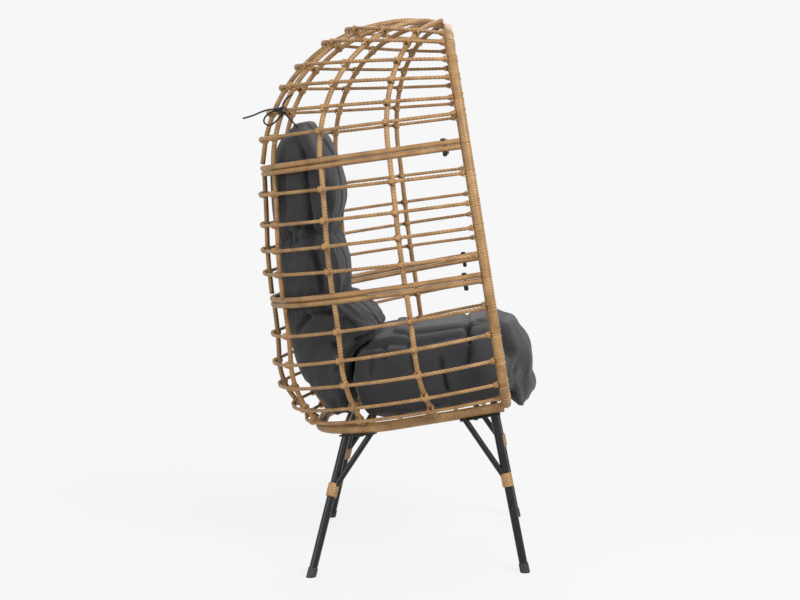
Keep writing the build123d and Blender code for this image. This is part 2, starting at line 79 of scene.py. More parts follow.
# %% [markdown]
# ## The camera
# The photograph looks at the chair's right side from a little above its middle. A camera could be
# aimed at the chair by eye. Here it is turned so that lines across the chair run to one point of
# the picture, which sets near and far members at the right distance from each other, and the
# picture is rolled by about a degree.

# %% Camera
PICTURE_WIDTH = 800
PICTURE_HEIGHT = 600
SENSOR_WIDTH = 36
FOCAL_PIXELS = 1612
ACROSS_MEETS = (458, 143)
ROLL = math.radians(1.2)
CAMERA_PLACE = HOOD_JOINT + Vector((-4.515, 0.0191, 0))

lens_data = bpy.data.cameras.new("studio_camera")
lens_data.sensor_width = SENSOR_WIDTH
lens_data.lens = FOCAL_PIXELS / PICTURE_WIDTH * SENSOR_WIDTH
camera = bpy.data.objects.new("studio_camera", lens_data)
scene.collection.objects.link(camera)
across_right = (ACROSS_MEETS[0] - PICTURE_WIDTH / 2) / FOCAL_PIXELS
across_up = (PICTURE_HEIGHT / 2 - ACROSS_MEETS[1]) / FOCAL_PIXELS
seen_across = Vector((across_right, across_up, -1)).normalized()
seen_up = Vector((-math.sin(ROLL), math.cos(ROLL), 0))
seen_up.z = -(seen_up.x * seen_across.x + seen_up.y * seen_across.y) / seen_across.z
seen_up.normalize()
seen_back = seen_up.cross(seen_across)
camera_turn = Matrix((seen_across, seen_back, seen_up)).to_4x4()
camera.matrix_world = Matrix.Translation(CAMERA_PLACE) @ camera_turn
scene.camera = camera
print("camera lens in mm:", round(lens_data.lens, 1))

# %% [markdown]
# ## Studio
# The chair stands on a pale floor that runs out of sight, under a bright even sky and three large
# soft lamps. A floor and sky lit to near-white would flood the chair with light from all sides. So
# they show as near-white to the camera only, and the light on the chair stays at a plain level.


# %% Nodes and links
def emptied(owner):
    """The node tree of a material or a world, with nothing in it."""
    owner.use_nodes = True
    owner.node_tree.nodes.clear()
    return owner.node_tree


def add_node(tree, kind, values=None):
    """A new shader node, with some of its inputs set by name."""
    node = tree.nodes.new("ShaderNode" + kind)
    for name, value in (values or {}).items():
        node.inputs[name].default_value = value
    return node


def join(tree, *links):
    """Links each output to its input."""
    for source, target in links:
        tree.links.new(source, target)


def mixed_shader(tree, share, first, second):
    """Two shaders mixed by a share."""
    mix = add_node(tree, "MixShader")
    join(
        tree,
        (share, mix.inputs["Fac"]),
        (first.outputs[0], mix.inputs[1]),
        (second.outputs[0], mix.inputs[2]),
    )
    return mix


def seen_plainly(tree):
    """Is the ray from the camera, a mirror or a glass? It then sees the plain backdrop."""
    path = add_node(tree, "LightPath")
    seen = path.outputs["Is Camera Ray"]
    for ray in ("Is Glossy Ray", "Is Transmission Ray"):
        either = add_node(tree, "Math")
        either.operation = "MAXIMUM"
        join(tree, (seen, either.inputs[0]), (path.outputs[ray], either.inputs[1]))
        seen = either.outputs[0]
    return seen


# %% Sky
BACKDROP = (0.93, 0.93, 0.935, 1)
SKY_WHITE = (1, 1, 1, 1)
SKY_STRENGTH = 0.42

sky = bpy.data.worlds.new("soft_sky")
scene.world = sky
sky_tree = emptied(sky)
sky_light = add_node(sky_tree, "Background", {"Color": SKY_WHITE, "Strength": SKY_STRENGTH})
sky_seen = add_node(sky_tree, "Background", {"Color": BACKDROP})
sky_mix = mixed_shader(sky_tree, seen_plainly(sky_tree), sky_light, sky_seen)
sky_out = add_node(sky_tree, "OutputWorld")
join(sky_tree, (sky_mix.outputs[0], sky_out.inputs["Surface"]))
print("sky nodes:", len(sky_tree.nodes))

# %% Floor
FLOOR_REACH = 30
# what the camera sees near the chair: a little shade over a steady glow
FLOOR_SHADE = (0.09, 0.09, 0.09, 1)
FLOOR_GLOW = (0.82, 0.82, 0.825, 1)
# what the chair is lit by
FLOOR_PAINT = (0.7, 0.7, 0.7, 1)
# distances over which the floor fades to the backdrop
FADE_FROM = 0.5
FADE_TO = 2.2

floor_mesh = bpy.data.meshes.new("floor")
floor_grid = bmesh.new()
bmesh.ops.create_grid(floor_grid, x_segments=1, y_segments=1, size=FLOOR_REACH)
floor_grid.to_mesh(floor_mesh)
floor_grid.free()
floor = bpy.data.objects.new("floor", floor_mesh)
scene.collection.objects.link(floor)

floor_finish = bpy.data.materials.new("pale_floor")
floor_tree = emptied(floor_finish)
floor_place = add_node(floor_tree, "TexCoord")
floor_distance = add_node(floor_tree, "VectorMath")
floor_distance.operation = "LENGTH"
floor_fade = add_node(floor_tree, "MapRange", {"From Min": FADE_FROM, "From Max": FADE_TO})
floor_fade.interpolation_type = "SMOOTHSTEP"
floor_matt = add_node(floor_tree, "BsdfDiffuse", {"Color": FLOOR_SHADE})
floor_glow = add_node(floor_tree, "Emission", {"Color": FLOOR_GLOW})
floor_near = add_node(floor_tree, "AddShader")
floor_far = add_node(floor_tree, "Emission", {"Color": BACKDROP})
floor_plain = add_node(floor_tree, "BsdfDiffuse", {"Color": FLOOR_PAINT})
floor_out = add_node(floor_tree, "OutputMaterial")
join(
    floor_tree,
    (floor_place.outputs["Object"], floor_distance.inputs[0]),
    (floor_distance.outputs["Value"], floor_fade.inputs["Value"]),
    (floor_matt.outputs[0], floor_near.inputs[0]),
    (floor_glow.outputs[0], floor_near.inputs[1]),
)
floor_seen = mixed_shader(floor_tree, floor_fade.outputs["Result"], floor_near, floor_far)
floor_mix = mixed_shader(floor_tree, seen_plainly(floor_tree), floor_plain, floor_seen)
join(floor_tree, (floor_mix.outputs[0], floor_out.inputs["Surface"]))
floor_mesh.materials.append(floor_finish)
print("floor nodes:", len(floor_tree.nodes))

# %% Lamps
LAMP_AIM = Vector((0, 0, 0.75))


def soft_lamp(name, place, size, power):
    """A square lamp that faces the middle of the chair."""
    data = bpy.data.lights.new(name, "AREA")
    data.size = size
    data.energy = power
    lamp = bpy.data.objects.new(name, data)
    scene.collection.objects.link(lamp)
    facing = (LAMP_AIM - Vector(place)).to_track_quat("-Z", "Y")
    lamp.matrix_world = Matrix.Translation(place) @ facing.to_matrix().to_4x4()


soft_lamp("key_lamp", (-3.2, -2.6, 3.6), 2.0, 230)
soft_lamp("fill_lamp", (-2.8, 2.8, 2.2), 2.6, 70)
soft_lamp("far_lamp", (3.0, -0.5, 3.0), 2.4, 80)
print("lamps:", len(bpy.data.lights))

# %% [markdown]
# ## Finishes
# The chair has five: tan strand, a paler strand for the bindings, satin black on the legs, plastic
# feet, and cloth. An effect that several of them share could be copied into each material. Node
# groups are tidier, because they are built once: a slow drift of tone over the surface, a fine
# grain and a cloth weave. Each material then has its own shader with its own plain numbers.


# %% Node groups
def new_group(name, inputs, outputs):
    """A shader node group with named sockets, and its two end nodes."""
    group = bpy.data.node_groups.new(name, "ShaderNodeTree")
    for socket, kind, value in inputs:
        made = group.interface.new_socket(socket, in_out="INPUT", socket_type=kind)
        made.default_value = value
    for socket, kind in outputs:
        group.interface.new_socket(socket, in_out="OUTPUT", socket_type=kind)
    return group, group.nodes.new("NodeGroupInput"), group.nodes.new("NodeGroupOutput")


def add_group(tree, group, values):
    """A node that places a group in a material, with its inputs set by name."""
    node = tree.nodes.new("ShaderNodeGroup")
    node.node_tree = group
    for name, value in values.items():
        node.inputs[name].default_value = value
    return node


tone_drift, drift_in, drift_out = new_group(
    "tone_drift",
    [
        ("Dark", "NodeSocketColor", (0, 0, 0, 1)),
        ("Light", "NodeSocketColor", (1, 1, 1, 1)),
        ("Scale", "NodeSocketFloat", 10.0),
    ],
    [("Color", "NodeSocketColor")],
)
drift_place = add_node(tone_drift, "TexCoord")
drift_noise = add_node(tone_drift, "TexNoise", {"Detail": 4})
drift_range = add_node(tone_drift, "MapRange", {"From Min": 0.3, "From Max": 0.7})
drift_mix = add_node(tone_drift, "Mix")
drift_mix.data_type = "RGBA"
join(
    tone_drift,
    (drift_place.outputs["Object"], drift_noise.inputs["Vector"]),
    (drift_in.outputs["Scale"], drift_noise.inputs["Scale"]),
    (drift_noise.outputs["Fac"], drift_range.inputs["Value"]),
    (drift_range.outputs["Result"], drift_mix.inputs["Factor"]),
    (drift_in.outputs["Dark"], drift_mix.inputs["A"]),
    (drift_in.outputs["Light"], drift_mix.inputs["B"]),
    (drift_mix.outputs["Result"], drift_out.inputs["Color"]),
)

fine_grain, grain_in, grain_out = new_group(
    "fine_grain", [("Scale", "NodeSocketFloat", 1000.0)], [("Height", "NodeSocketFloat")]
)
grain_place = add_node(fine_grain, "TexCoord")
grain_noise = add_node(fine_grain, "TexNoise", {"Detail": 2})
join(
    fine_grain,
    (grain_place.outputs["Object"], grain_noise.inputs["Vector"]),
    (grain_in.outputs["Scale"], grain_noise.inputs["Scale"]),
    (grain_noise.outputs["Fac"], grain_out.inputs["Height"]),
)

cloth_weave, weave_in, weave_out = new_group(
    "cloth_weave", [("Scale", "NodeSocketFloat", 500.0)], [("Height", "NodeSocketFloat")]
)
weave_place = add_node(cloth_weave, "TexCoord")
weave_height = None
for way in ("X", "Y", "Z"):
    wave = add_node(cloth_weave, "TexWave", {"Distortion": 0.6, "Detail": 1})
    wave.bands_direction = way
    join(
        cloth_weave,
        (weave_place.outputs["Object"], wave.inputs["Vector"]),
        (weave_in.outputs["Scale"], wave.inputs["Scale"]),
    )
    if weave_height is None:
        weave_height = wave.outputs["Fac"]
        continue
    both = add_node(cloth_weave, "Math")
    both.operation = "ADD"
    join(cloth_weave, (weave_height, both.inputs[0]), (wave.outputs["Fac"], both.inputs[1]))
    weave_height = both.outputs[0]
join(cloth_weave, (weave_height, weave_out.inputs["Height"]))
print("node groups:", [group.name for group in bpy.data.node_groups])


# %% Materials
def surface(name, roughness, dark, light, scale):
    """A material with a drifting tone: its tree, shader and the drift node."""
    material = bpy.data.materials.new(name)
    tree = emptied(material)
    shader = add_node(tree, "BsdfPrincipled", {"Roughness": roughness})
    out = add_node(tree, "OutputMaterial")
    drift = add_group(
        tree, tone_drift, {"Dark": (*dark, 1), "Light": (*light, 1), "Scale": scale}
    )
    join(
        tree,
        (drift.outputs["Color"], shader.inputs["Base Color"]),
        (shader.outputs[0], out.inputs["Surface"]),
    )
    return material, tree, shader, drift


def darkened(tree, shader, drift, share, colour):
    """Paints shade: mixes the drifting tone with a dark colour by a share, as the shader's colour."""
    mix = add_node(tree, "Mix")
    mix.data_type = "RGBA"
    mix.inputs["B"].default_value = (*colour, 1)
    join(
        tree,
        (share, mix.inputs["Factor"]),
        (drift.outputs["Color"], mix.inputs["A"]),
        (mix.outputs["Result"], shader.inputs["Base Color"]),
    )


def bumped(tree, shader, height, strength, distance):
    """Feeds a height into the shader's normal."""
    bump = add_node(tree, "Bump", {"Strength": strength, "Distance": distance})
    join(tree, (height, bump.inputs["Height"]), (bump.outputs["Normal"], shader.inputs["Normal"]))


def rattan_strand(name, dark, light, groove_shade_colour):
    """Synthetic rattan: tan strand with fine streaks, with painted shade where two turns meet."""
    material, tree, shader, drift = surface(name, 0.42, dark, light, 26)
    groove = add_node(tree, "Attribute")
    groove.attribute_name = "groove"
    shade = add_node(tree, "MapRange", {"From Min": 0.45, "From Max": 1.0})
    shade.interpolation_type = "SMOOTHSTEP"
    join(tree, (groove.outputs["Fac"], shade.inputs["Value"]))
    darkened(tree, shader, drift, shade.outputs["Result"], groove_shade_colour)
    streaks = add_group(tree, fine_grain, {"Scale": 900})
    bumped(tree, shader, streaks.outputs["Height"], 0.25, 0.0004)
    return material


# the last colour of each strand is the painted shade in the grooves between its turns
rattan = rattan_strand(
    "rattan_strand", (0.225, 0.115, 0.038), (0.41, 0.231, 0.085), (0.055, 0.025, 0.009)
)
binding_rattan = rattan_strand(
    "binding_strand", (0.29, 0.152, 0.053), (0.45, 0.255, 0.097), (0.080, 0.038, 0.014)
)

black_coat, coat_tree, coat_shader, _ = surface(
    "black_satin_coat", 0.26, (0.006, 0.006, 0.007), (0.010, 0.010, 0.011), 60
)
coat_shader.inputs["Specular IOR Level"].default_value = 0.3
coat_grain = add_group(coat_tree, fine_grain, {"Scale": 1400})
bumped(coat_tree, coat_shader, coat_grain.outputs["Height"], 0.15, 0.0003)

foot_plastic, foot_tree, foot_shader, _ = surface(
    "black_foot_plastic", 0.55, (0.010, 0.010, 0.010), (0.02, 0.02, 0.02), 90
)
foot_place = add_node(foot_tree, "TexCoord")
foot_pebbles = add_node(foot_tree, "TexVoronoi", {"Scale": 1200})
join(foot_tree, (foot_place.outputs["Object"], foot_pebbles.inputs["Vector"]))
bumped(foot_tree, foot_shader, foot_pebbles.outputs["Distance"], 0.2, 0.0003)

# painted shade: the colour that the cloth is darkened towards deep in its folds
FOLD_SHADE_COLOUR = (0.004, 0.004, 0.0045)


def woven_cloth(name, dark, light, scale):
    """Plain woven polyester with a soft sheen, and painted shade deep in its folds."""
    material, tree, shader, drift = surface(name, 0.85, dark, light, 9)
    fold_shade = add_node(tree, "Attribute")
    fold_shade.attribute_name = "fold_shade"
    darkened(tree, shader, drift, fold_shade.outputs["Fac"], FOLD_SHADE_COLOUR)
    weave = add_group(tree, cloth_weave, {"Scale": scale})
    bumped(tree, shader, weave.outputs["Height"], 0.25, 0.0004)
    shader.inputs["Sheen Weight"].default_value = 0.09
    shader.inputs["Sheen Roughness"].default_value = 0.5
    return material


cushion_cloth = woven_cloth(
    "charcoal_cloth", (0.0150, 0.0142, 0.0150), (0.0250, 0.0238, 0.0250), 420
)
tie_cloth = woven_cloth("black_tape", (0.012, 0.012, 0.013), (0.022, 0.022, 0.024), 700)
print("materials:", len(bpy.data.materials))

# %% [markdown]
# ## Winding the strand
# Every tube of the basket is wound with a flat strand, turn against turn. A bump in the material
# could hint at the turns, but the outline of a tube would stay smooth, so they are modelled. One
# turn is a small curved profile spun round the tube's axis while it moves along by its own width.
# An Array repeats the turn for the length of the tube, and a Curve modifier bends the result along
# the tube's centreline. The centreline is read from the engineering model: planes that turn about
# an axis cut the tube, and the middle of each cut is a point of it.


# %% Centrelines from the engineering model
# share of the turn left out at each end, where a cut would not be whole
END_SHARE = 0.005
# in tube radii: the least size of a whole cut, and where a tube's shaped end is looked for
WHOLE_CUT = 1.9
END_REACH = 10
END_SPREAD = 1.5
# points of the engineering model's loose triangles that are one point
SAME_POINT = 1e-6


def tube_mesh(node, side):
    """The tubes of a node as a joined mesh, or only those on one side of the chair."""
    tube = bmesh.new()
    tube.from_mesh(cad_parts[node].data)
    bmesh.ops.remove_doubles(tube, verts=tube.verts[:], dist=SAME_POINT)
    if side:
        other = [v for v in tube.verts if v.co.x * side < 0]
        bmesh.ops.delete(tube, geom=other, context="VERTS")
    return tube


def cut_middle(tube, pivot, axis, out, radius):
    """Middle of the cut through a tube by the half-plane of an axis and an outward direction."""
    cut = tube.copy()
    geometry = cut.verts[:] + cut.edges[:] + cut.faces[:]
    bmesh.ops.bisect_plane(
        cut, geom=geometry, plane_co=pivot, plane_no=axis.cross(out),
        clear_inner=True, clear_outer=True,
    )
    near = [v.co - pivot for v in cut.verts if (v.co - pivot).dot(out) > 0]
    cut.free()
    reach = [place.dot(out) for place in near]
    rise = [place.dot(axis) for place in near]
    if not near:
        return None
    if min(max(reach) - min(reach), max(rise) - min(rise)) < WHOLE_CUT * radius:
        return None
    return pivot + out * (min(reach) + max(reach)) / 2 + axis * (min(rise) + max(rise)) / 2


def end_place(tube, last, before, radius):
    """Where a tube ends, straight on from the last whole cut: the middle of its shaped end."""
    way = (last - before).normalized()
    ahead = []
    for vert in tube.verts:
        place = vert.co - last
        along = place.dot(way)
        aside = (place - way * along).length
        if 0 < along < END_REACH * radius and aside < END_SPREAD * radius:
            ahead.append(along)
    if not ahead:
        return last + way * radius / 2
    farthest = [along for along in ahead if along > max(ahead) / 2]
    return last + way * sum(farthest) / len(farthest)


def centreline(node, pivot, axis, zero, count, radius, side=0):
    """Middles of the cuts through a bent tube by planes that turn, and its two ends."""
    tube = tube_mesh(node, side)
    turn_way = axis.cross(zero)
    places = [v.co - pivot for v in tube.verts]
    angles = [math.atan2(place.dot(turn_way), place.dot(zero)) for place in places]
    points = []
    for step in range(count):
        share = END_SHARE + (1 - 2 * END_SHARE) * step / (count - 1)
        angle = min(angles) + (max(angles) - min(angles)) * share
        out = zero * math.cos(angle) + turn_way * math.sin(angle)
        middle = cut_middle(tube, pivot, axis, out, radius)
        if middle:
            points.append(middle)
    start = end_place(tube, points[0], points[1], radius)
    end = end_place(tube, points[-1], points[-2], radius)
    tube.free()
    return [start] + points + [end]


# %% One turn of strand, repeated along a tube
STRAND_STEPS = 12
STRAND_PROFILE = [0, 0.14, 0.5, 0.86, 1]
EDGE_SHARPNESS = 4
LINE_STEPS = 6
# how near two turns' edges are joined, and how far round a tube's end the strand is trimmed
TURN_WELD = 0.0002
TRIM_REACH = 0.08


def strand_turn(radius, pitch, starts, dip):
    """One turn of strand round the X axis. Two starts climb side by side, as in a rope."""
    turn = bmesh.new()
    # the groove layer marks where two turns meet; the strand's material paints shade there
    groove = turn.verts.layers.float.new("groove")
    profile = []
    for share in STRAND_PROFILE:
        edge = abs(2 * share - 1) ** EDGE_SHARPNESS
        vert = turn.verts.new((pitch * share, 0, radius - dip * edge))
        vert[groove] = edge
        profile.append(vert)
    for a, b in zip(profile, profile[1:]):
        turn.edges.new((a, b))
    step = Vector((starts * pitch / STRAND_STEPS, 0, 0))
    bmesh.ops.spin(
        turn, geom=turn.verts[:] + turn.edges[:], cent=(0, 0, 0), axis=(1, 0, 0), dvec=step,
        angle=2 * math.pi, steps=STRAND_STEPS, use_merge=False, use_duplicate=False,
    )
    turn.normal_update()
    outward = [Vector((0, *face.calc_center_median().yz)) for face in turn.faces]
    inward = [face for face, out in zip(turn.faces, outward) if face.normal.dot(out) < 0]
    if len(inward) > len(turn.faces) / 2:
        bmesh.ops.reverse_faces(turn, faces=turn.faces[:])
    mesh = bpy.data.meshes.new("strand_turn")
    turn.to_mesh(mesh)
    turn.free()
    return mesh


def lengthened(points, extra):
    """The line with both ends carried straight on."""
    start = points[0] + (points[0] - points[1]).normalized() * extra
    end = points[-1] + (points[-1] - points[-2]).normalized() * extra
    return [start] + points + [end]


def trim(strand, end, way):
    """Cuts off what is wound past a tube's end."""
    near = [v for v in strand.verts if (v.co - end).length < TRIM_REACH]
    edges = {e for v in near for e in v.link_edges}
    faces = {f for v in near for f in v.link_faces}
    geometry = near + list(edges) + list(faces)
    bmesh.ops.bisect_plane(strand, geom=geometry, plane_co=end, plane_no=way, clear_outer=True)


def wound_mesh(points, radius, pitch, starts, dip):
    """Strand wound along a line of points, as a finished mesh."""
    path = lengthened(points, pitch * (starts + 1))
    line_data = bpy.data.curves.new("centreline", "CURVE")
    line_data.dimensions = "3D"
    line_data.resolution_u = LINE_STEPS
    spline = line_data.splines.new("BEZIER")
    spline.bezier_points.add(len(path) - 1)
    for control, point in zip(spline.bezier_points, path):
        control.co = point
        control.handle_left_type = "AUTO"
        control.handle_right_type = "AUTO"
    line = bpy.data.objects.new("centreline", line_data)
    scene.collection.objects.link(line)
    strand = bpy.data.objects.new("strand", strand_turn(radius, pitch, starts, dip))
    scene.collection.objects.link(strand)
    repeat = strand.modifiers.new("turns", "ARRAY")
    repeat.fit_type = "FIT_CURVE"
    repeat.curve = line
    repeat.use_relative_offset = False
    repeat.use_constant_offset = True
    repeat.constant_offset_displace = (pitch, 0, 0)
    follow = strand.modifiers.new("follow", "CURVE")
    follow.object = line
    follow.deform_axis = "POS_X"
    bpy.context.view_layer.update()
    ready = strand.evaluated_get(bpy.context.evaluated_depsgraph_get())
    mesh = bpy.data.meshes.new_from_object(ready)
    bpy.data.objects.remove(strand)
    bpy.data.objects.remove(line)
    whole = bmesh.new()
    whole.from_mesh(mesh)
    bmesh.ops.remove_doubles(whole, verts=whole.verts[:], dist=TURN_WELD)
    trim(whole, points[0], (points[0] - points[1]).normalized())
    trim(whole, points[-1], (points[-1] - points[-2]).normalized())
    whole.to_mesh(mesh)
    whole.free()
    return mesh


def finished(name, meshes, material, nodes):
    """One smooth object from one or more meshes, in place of the nodes that it dresses."""
    joined = bmesh.new()
    for mesh in meshes:
        joined.from_mesh(mesh)
    open_edges = [e for e in joined.edges if e.is_boundary]
    bmesh.ops.holes_fill(joined, edges=open_edges, sides=0)
    for face in joined.faces:
        face.smooth = True
    whole = bpy.data.meshes.new(name)
    joined.to_mesh(whole)
    joined.free()
    whole.materials.append(material)
    piece = bpy.data.objects.new(name, whole)
    scene.collection.objects.link(piece)
    if nodes:
        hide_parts(*nodes)
    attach(piece, "root")
    return piece


# %% [markdown]
# ## The frame of the basket
# The rims, the rings and the base tube are tightly wound. The ribs have a broader strand, and round
# the hoops two strands climb side by side like a rope. Each could have a modelling step of its own,
# but they differ only in a few numbers, so one table and one loop wind them all.

# %% Wind every member
RIM_R = 0.0135
RING_R = 0.0075
RIB_R = 0.007
HOOP_R = 0.005
BASE_R = 0.014
# strand width along the tube, strands side by side, depth of the groove between them
TIGHT = (0.0065, 1, 0.0007)
SMOOTH = (0.0088, 1, 0.0006)
ROPE = (0.0110, 2, 0.0014)

ring_pivot = in_basket(0, 0.05, -0.15)
base_pivot = in_basket(0, 0.2, -0.7)
arch_pivot = in_basket(0, 0, 0)
bow_pivot = in_basket(0, 0, -0.42)
side_pivot = in_basket(0, -0.4, -0.17)
hood_pivot = in_basket(0, 0.12, 0)
low_pivot = in_basket(0, 0, -0.45)
# part of a member's name; pivot, axis, first direction and number of the cuts; radius; winding
MEMBERS = [
    ("_ring", ring_pivot, UP, BACK, 41, RING_R, TIGHT),
    ("_hoop_", ring_pivot, UP, BACK, 41, HOOP_R, ROPE),
    ("base_tube", base_pivot, UP, BACK, 41, BASE_R, TIGHT),
    ("canopy_rim", arch_pivot, BACK, UP, 41, RIM_R, TIGHT),
    ("basket_rim", bow_pivot, BACK, -UP, 61, RIM_R, TIGHT),
    ("middle_rim", side_pivot, ACROSS, BACK, 13, RIM_R, TIGHT),
    ("canopy_rib", hood_pivot, ACROSS, BACK, 25, RIB_R, SMOOTH),
    ("middle_rib", side_pivot, ACROSS, BACK, 9, RIB_R, SMOOTH),
    ("basket_rib", low_pivot, ACROSS, BACK, 17, RIB_R, SMOOTH),
]

hoop_lines = {}
rib_lines = {}
rim_lines = {}
wound = 0
for node in sorted(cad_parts):
    member = next((row for row in MEMBERS if row[0] in node), None)
    if member is None:
        continue
    _, pivot, axis, zero, count, radius, winding = member
    sides = (1, -1) if "_ribs_" in node else (0,)
    lines = [centreline(node, pivot, axis, zero, count, radius, side) for side in sides]
    if "_hoop_" in node:
        hoop_lines[node] = lines[0]
    elif "_rib" in node:
        rib_lines[node] = lines
    elif "_rim" in node:
        rim_lines[node] = lines[0]
    meshes = [wound_mesh(line, radius, *winding) for line in lines]
    finished(node + "_wound", meshes, rattan, [node])
    wound += len(lines)
print("wound members:", wound)

# %% [markdown]
# ## Bars under the seat
# Six straight bars cross the base tube and carry the cushions. They are one piece of the engineering
# model, so planes that turn can't tell them apart. As they are straight, their ends are enough: each
# bar's reach and height are measured at its depth, and it is wound as the ribs are.

# %% Seat bars
SEAT_BAR_R = 0.006
SEAT_BAR_DEPTHS = [0.060, 0.135, 0.210, 0.285, 0.360, 0.435]
BAR_STOPS = (-1, -0.5, 0, 0.5, 1)

bar_points = [TO_BASKET @ v.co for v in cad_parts["seat_bars"].data.vertices]
bar_meshes = []
for depth in SEAT_BAR_DEPTHS:
    near = [p for p in bar_points if abs(p.y - depth) < 2 * SEAT_BAR_R]
    reach = max(p.x for p in near)
    height = sum(p.z for p in near) / len(near)
    line = [in_basket(share * reach, depth, height) for share in BAR_STOPS]
    bar_meshes.append(wound_mesh(line, SEAT_BAR_R, *SMOOTH))
finished("seat_bars_wound", bar_meshes, rattan, ["seat_bars"])
print("seat bars:", len(bar_meshes))

# %% [markdown]
# ## Lashings
# Where a hoop crosses a rib, a thin strand is tied round both in a cross. Where a hoop meets the
# rim, the same strand takes a few turns round the hoop's end and two round the rim. A lashing is
# one long strand on the real chair. Separate closed turns look the same from outside and are easy
# to place: each is a small circle spun into a ring, then stretched and turned to fit.

# %% A ring of strand
LASH_R = 0.0017
LASH_SIDES = 5
LASH_STEPS = 12


def lash_ring(target, centre, way_a, way_b, reach_a, reach_b, thickness=LASH_R):
    """Adds an oval ring of strand round a centre, in the plane of two directions."""
    ring = bmesh.new()
    bmesh.ops.create_circle(ring, segments=LASH_SIDES, radius=thickness)
    upright = Matrix.Rotation(math.pi / 2, 3, "X")
    bmesh.ops.rotate(ring, verts=ring.verts[:], cent=(0, 0, 0), matrix=upright)
    bmesh.ops.translate(ring, verts=ring.verts[:], vec=(reach_a, 0, 0))
    bmesh.ops.spin(
        ring, geom=ring.verts[:] + ring.edges[:], cent=(0, 0, 0), axis=(0, 0, 1),
        angle=2 * math.pi, steps=LASH_STEPS, use_merge=True, use_duplicate=False,
    )
    bmesh.ops.recalc_face_normals(ring, faces=ring.faces[:])
    oval = Matrix.Diagonal((1, reach_b / reach_a, 1))
    turned = Matrix((way_a, way_b, way_a.cross(way_b))).transposed() @ oval
    placed = Matrix.Translation(centre) @ turned.to_4x4()
    bmesh.ops.transform(ring, verts=ring.verts[:], matrix=placed)
    mesh = bpy.data.meshes.new("lash")
    ring.to_mesh(mesh)
    ring.free()
    target.append(mesh)


# %% Lash every crossing
def nearest_pair(line_a, line_b):
    """The closest points of two lines, with the direction of each there."""
    best = None
    for i in range(len(line_a) - 1):
        for j in range(len(line_b) - 1):
            middle_a = (line_a[i] + line_a[i + 1]) / 2
            middle_b = (line_b[j] + line_b[j + 1]) / 2
            gap = (middle_a - middle_b).length
            if best is None or gap < best[0]:
                best = (gap, i, j)
    _, i, j = best
    way_a = (line_a[i + 1] - line_a[i]).normalized()
    way_b = (line_b[j + 1] - line_b[j]).normalized()
    between = line_a[i] - line_b[j]
    cosine = way_a.dot(way_b)
    along_a = (cosine * way_b.dot(between) - way_a.dot(between)) / (1 - cosine**2)
    along_b = (way_b.dot(between) - cosine * way_a.dot(between)) / (1 - cosine**2)
    return line_a[i] + way_a * along_a, line_b[j] + way_b * along_b, way_a, way_b


def nearest_on(line, point):
    """The nearest point of a line to a point, and the line's direction there."""
    i = min(range(len(line) - 1), key=lambda k: ((line[k] + line[k + 1]) / 2 - point).length)
    way = (line[i + 1] - line[i]).normalized()
    return line[i] + way * way.dot(point - line[i]), way


# half length of a turn of the cross, along its diagonal and through both tubes
CROSS_REACH = 0.0105
CROSS_DEPTH = HOOP_R + RIB_R + LASH_R
# each turn round a hoop's end: how far from the end it lies, and how far it stands out
END_TURNS = [(0.0110, 0.0008), (0.0075, 0.0016), (0.0040, 0.0028)]
# places along the rim of the turns beside a hoop's end
RIM_TURNS = [-0.0085, 0.0085]

lash_meshes = []
for hoop, hoop_line in hoop_lines.items():
    section = hoop.split("_")[0]
    for rib, lines in rib_lines.items():
        if not rib.startswith(section):
            continue
        for line in lines:
            on_hoop, on_rib, hoop_way, rib_way = nearest_pair(hoop_line, line)
            outward = (on_hoop - on_rib).normalized()
            middle = (on_hoop + outward * HOOP_R + on_rib - outward * RIB_R) / 2
            for sign in (1, -1):
                diagonal = hoop_way + rib_way * sign
                diagonal = (diagonal - outward * diagonal.dot(outward)).normalized()
                beside = outward.cross(diagonal) * LASH_R
                for place in (middle - beside, middle + beside):
                    lash_ring(lash_meshes, place, outward, diagonal, CROSS_DEPTH, CROSS_REACH)
    for end, before in ((hoop_line[0], hoop_line[1]), (hoop_line[-1], hoop_line[-2])):
        inward = (before - end).normalized()
        across = UP.cross(inward).normalized()
        for setback, swell in END_TURNS:
            reach = HOOP_R + swell
            place = end + inward * setback
            lash_ring(lash_meshes, place, inward.cross(across), across, reach, reach)
        rims = [line for rim, line in rim_lines.items() if rim.startswith(section)]
        places = [nearest_on(line, end) for line in rims]
        on_rim, rim_way = min(places, key=lambda found: (found[0] - end).length)
        rim_across = rim_way.cross(BACK).normalized()
        for shift in RIM_TURNS:
            place = on_rim + rim_way * shift
            lash_ring(lash_meshes, place, rim_across, rim_way.cross(rim_across), RIM_R, RIM_R)
finished("lashings", lash_meshes, binding_rattan, [])
print("lashing rings:", len(lash_meshes))

# %% [markdown]
# ## Legs
# The legs, braces, plates and bolts are plain coated metal. Their engineering shapes already show
# all there is to see, so they keep them and get a black satin coat. Where a brace meets its leg,
# tan strand is wound round both, in the same way as on the tubes of the basket.

# %% Legs and fittings
COATED = ("leg_front", "leg_rear", "brace_", "leg_plates", "leg_bolts", "ring_bolts", "ring_nuts")
for name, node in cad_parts.items():
    if name.startswith(COATED):
        for slot in node.material_slots:
            slot.material = black_coat
    elif name == "foot_caps":
        for slot in node.material_slots:
            slot.material = foot_plastic

WRAP_R = 0.0155
WRAP_WINDING = (0.0058, 1, 0.0012)
WRAP_STOPS = (0, 0.3, 0.7, 1)
